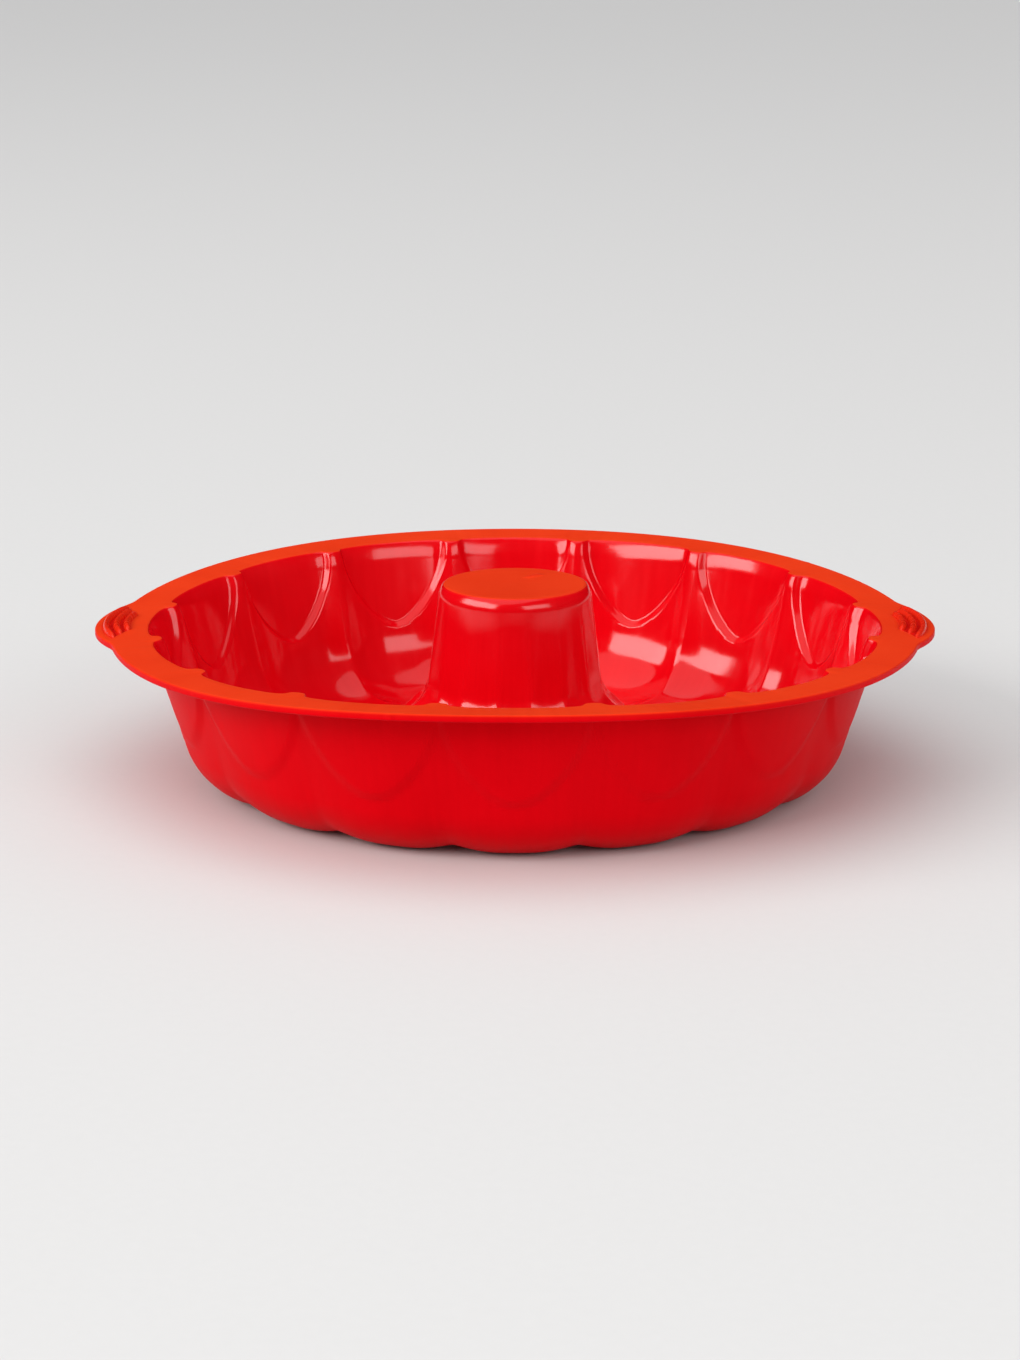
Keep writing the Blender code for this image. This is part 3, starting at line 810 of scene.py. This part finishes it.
# the rings below the rim: node, where each starts and ends, row spacing, slot and finish
rings = {
    "flutedWall": ("fluted_wall", "wall", "turn", 0.00045, "gloss_silicone", glossRed),
    "lowerWall": ("lower_wall", "turn", "floor", 0.0008, "gloss_silicone", glossRed),
    "troughFloor": ("trough_floor", "floor", "dish", 0.0009, "gloss_silicone", glossRed),
    "tubeFlare": ("tube_flare", "dish", "foot", 0.0010, "gloss_silicone", glossRed),
    "centreTube": ("centre_tube", "foot", "tube", 0.0010, "tube_silicone", tubeRed),
}
for name, (node, start, end, spacing, slot, material) in rings.items():
    over = spread(frontAt[start], frontAt[end], spacing)
    under = spread(backAt[start], backAt[end], spacing * 2)
    finishPiece(meshPiece(name, [ringBody(over, under)]), node, material)

# the disc that closes the tube
capShape = {
    "dip": 0.00025,             # on top, in the middle
    "dipRadius": 0.0140,
    "perLobe": 24,              # columns
    "edge": 0.00025,            # row spacing round the edge, on top and below
    "over": 0.0007,
    "under": 0.0014,
    "middle": 0.0008,           # radius at which the rows end and one face closes them
}

# the mark that the moulding gate left on the tube's top
gateMark = {
    "x": 0.0062,
    "y": 0.0105,
    "turn": radians(42),
    "long": 0.0034,             # half its length, and half its width
    "wide": 0.0015,
    "high": 0.00045,
    "pale": 0.12,               # less gloss than the disc
}


def markShare(x, y):
    # 1 on the gate mark, 0 away from it: a flat bell along and across
    along = (x - gateMark["x"]) * cos(gateMark["turn"]) + (y - gateMark["y"]) * sin(gateMark["turn"])
    across = (y - gateMark["y"]) * cos(gateMark["turn"]) - (x - gateMark["x"]) * sin(gateMark["turn"])
    return np.exp(-(along / gateMark["long"]) ** 4 - (across / gateMark["wide"]) ** 4)


def capPoint(line):
    # point(angle, s): the turned disc, scalloped at its edge; on top there are the mark and a shallow dip
    def point(angle, s):
        r, z, _, _, _, crease, soft, crown = alongLine(line, s)
        edge = np.clip(r / mould["tubeTopRadius"], 0, 1)
        r = r + crease * scallop(lobePhase(angle), soft, crown) * edge
        x, y = r * np.cos(angle), r * np.sin(angle)
        if line is front:
            z = z + gateMark["high"] * markShare(x, y)
            z = z - capShape["dip"] * np.exp(-(r / capShape["dipRadius"]) ** 2)
        return np.stack([x, y, z], axis=-1)
    return point


def makeCap():
    # one grid from under the middle out, round the edge and in over the top
    columns = mould["lobes"] * capShape["perLobe"]
    sides = []
    for line, at, spacing in ((back, backAt, capShape["under"]), (front, frontAt, capShape["over"])):
        rows = np.concatenate([spread(at["tube"], at["disc"], capShape["edge"])[:-1],
                               spread(at["disc"], at["end"] - capShape["middle"], spacing)])
        angle = np.broadcast_to(np.arange(columns) * 2 * pi / columns, (len(rows), columns))
        sides.append(skinGrid(capPoint(line), line, rows, angle))
    under, over = sides
    x, y = over[0][..., 0], over[0][..., 1]
    # less finish on the mark also takes a little of the painted orange reflection out of its colour
    over[2] = over[2] - gateMark["pale"] * markShare(x, y)  # the finish, beside the points and normals
    grids = [np.concatenate([low[::-1], high]) for low, high in zip(under, over)]
    return meshPiece("tubeCap", [closedBody(*grids)])


finishPiece(makeCap(), "tube_cap", satinRed)


def makeEar(side):
    # the stretch of the band that widens into one ear
    middle = 0.0 if side == "right" else pi
    return meshPiece(side + "Ear", [bandBody(middle - earHalf, middle + earHalf, earShape["columns"])])


def makeRib(side, number):
    # a bead carried along the ear's arc: an ellipse that closes to a point at both ends, half sunk
    way = 1 if side == "right" else -1
    arcRadius = earShape["arc"] - ribs["inset"] - number * ribs["pitch"]
    half = asin((ribs["halfLength"] - number * ribs["shorter"]) / arcRadius)
    t = np.linspace(-1, 1, ribs["rows"])
    t = np.sign(t) * (1 - (1 - np.abs(t)) ** ribs["gather"])

    def point(u, v):
        fullness = np.sqrt(np.clip(1 - np.abs(u) ** ribs["round"], 0, None))
        radius = arcRadius + ribs["halfWidth"] * fullness * np.cos(v)
        x = way * (earCentre + radius * np.cos(u * half))
        y = radius * np.sin(u * half)
        surface = droop(x, y, flangeTop(np.hypot(x, y)))
        rise = np.where(np.sin(v) > 0, ribs["height"] + ribs["sunk"], ribs["sunk"])
        return np.stack([x, y, surface - ribs["sunk"] + rise * fullness * np.sin(v)], axis=-1)

    v, u = np.meshgrid(np.linspace(0, 2 * pi, ribs["columns"], endpoint=False), t[1:-1])
    normals = way * normalsOf(point, u, v, du=1e-3, dv=1e-3)
    uv = np.stack([u * ribs["flow"][0], v * ribs["flow"][1]], axis=-1)
    body = closedBody(point(u, v), normals, np.full(u.shape, ribs["crest"]), uv)
    return meshPiece(side + "Rib" + str(number + 1), [body])


for side in ("left", "right"):
    finishPiece(makeEar(side), side + "_handle", satinRed)
    for number in range(ribs["count"]):
        finishPiece(makeRib(side, number), f"{side}_grip_rib_{number + 1}", satinRed)


# pale paper under the pan, three broad soft lights and two softboxes
studio = {
    "floorColour": (0.64, 0.63, 0.62),
    "floorSize": 30.0,
    "floorRoughness": 0.75,
    "floorSpecular": 0.2,
    "fibres": (300, 4, 0.55),   # scale, detail and roughness
    "fibreShade": 0.97,
    "world": (0.90, 0.92, 0.95),
    "worldStrength": 0.50,
    "broadDistance": 2.0,       # changes nothing but where the broad lights' handles are
    "overhead": {"strength": 1.0, "angle": 76, "azimuth": -50, "elevation": 74, "mirrored": True},
    "bounce": {"strength": 0.5, "angle": 90, "azimuth": -30, "elevation": 70, "mirrored": False},
    "side": {"strength": 0.5, "angle": 90, "azimuth": 70, "elevation": 25, "mirrored": False},
    "key": {"azimuth": -61.5, "elevation": 28.5, "distance": 4.0, "size": (3.9, 1.45), "power": 106},
    "fill": {"azimuth": 32, "elevation": 26, "distance": 4.0, "size": (2.8, 1.1), "power": 28},
}


def makeFloor():
    # a flat square of paper, faintly uneven in colour
    half = studio["floorSize"] / 2
    corners = [(-half, -half, 0), (half, -half, 0), (half, half, 0), (-half, half, 0)]
    mesh = bpy.data.meshes.new("floor")
    mesh.from_pydata(corners, [], [(0, 1, 2, 3)])
    floor = bpy.data.objects.new("floor", mesh)
    bpy.context.scene.collection.objects.link(floor)
    material = bpy.data.materials.new("palePaper")
    material.use_nodes = True
    tree = material.node_tree
    shader = tree.nodes["Principled BSDF"]
    shader.inputs["Roughness"].default_value = studio["floorRoughness"]
    shader.inputs["Specular IOR Level"].default_value = studio["floorSpecular"]
    place = tree.nodes.new("ShaderNodeTexCoord").outputs["Object"]
    fibres = noiseNode(tree, place, *studio["fibres"])
    shaded = tuple(channel * studio["fibreShade"] for channel in studio["floorColour"])
    tree.links.new(mixColour(tree, fibres, shaded, studio["floorColour"]), shader.inputs["Base Color"])
    mesh.materials.append(material)


def placeLamp(name, data, light, distance):
    # the lamp faces the pan; azimuth 0 is the side that faces the camera, and it grows to the right
    azimuth, elevation = radians(light["azimuth"]), radians(light["elevation"])
    direction = Vector((sin(azimuth) * cos(elevation), -cos(azimuth) * cos(elevation), sin(elevation)))
    lamp = bpy.data.objects.new(name, data)
    lamp.location = direction * distance
    lamp.rotation_euler = direction.to_track_quat("Z", "Y").to_euler()
    bpy.context.scene.collection.objects.link(lamp)
    return lamp


def makeSoftbox(name, light):
    # a rectangle of light, which the gloss mirrors as a long highlight
    data = bpy.data.lights.new(name, "AREA")
    data.shape = "RECTANGLE"
    data.size, data.size_y = light["size"]
    data.energy = light["power"]
    placeLamp(name, data, light, light["distance"])


def makeBroad(name, light):
    # a broad soft light, which the gloss mirrors or not
    data = bpy.data.lights.new(name, "SUN")
    data.energy = light["strength"]
    data.angle = radians(light["angle"])
    placeLamp(name, data, light, studio["broadDistance"]).visible_glossy = light["mirrored"]


def makeWorld():
    # even light from all round, which the gloss doesn't mirror
    world = bpy.data.worlds.new("studio")
    world.use_nodes = True
    background = world.node_tree.nodes["Background"]
    background.inputs["Color"].default_value = (*studio["world"], 1.0)
    background.inputs["Strength"].default_value = studio["worldStrength"]
    world.cycles_visibility.glossy = False
    bpy.context.scene.world = world
    bpy.context.scene.view_settings.view_transform = "Standard"


# the camera looks from the front over the rim, a little to the left and tilted down past the middle
view = {"elevation": radians(13.3), "distance": 1.0075, "lens": 82.47, "sensor": 36, "aside": -0.0016,
        "tilt": radians(1.232)}


def makeCamera():
    data = bpy.data.cameras.new("camera")
    data.lens = view["lens"]
    data.sensor_width = view["sensor"]
    camera = bpy.data.objects.new("camera", data)
    away = view["distance"] * cos(view["elevation"])
    up = view["distance"] * sin(view["elevation"])
    camera.location = (view["aside"], -away, mould["rimHeight"] + up)
    camera.rotation_euler = (pi / 2 - view["elevation"] - view["tilt"], 0, 0)
    bpy.context.scene.collection.objects.link(camera)
    bpy.context.scene.camera = camera


makeFloor()
for name in ("key", "fill"):
    makeSoftbox(name, studio[name])
for name in ("overhead", "bounce", "side"):
    makeBroad(name, studio[name])
makeWorld()
makeCamera()
print("placed the floor, 5 lights and the camera")
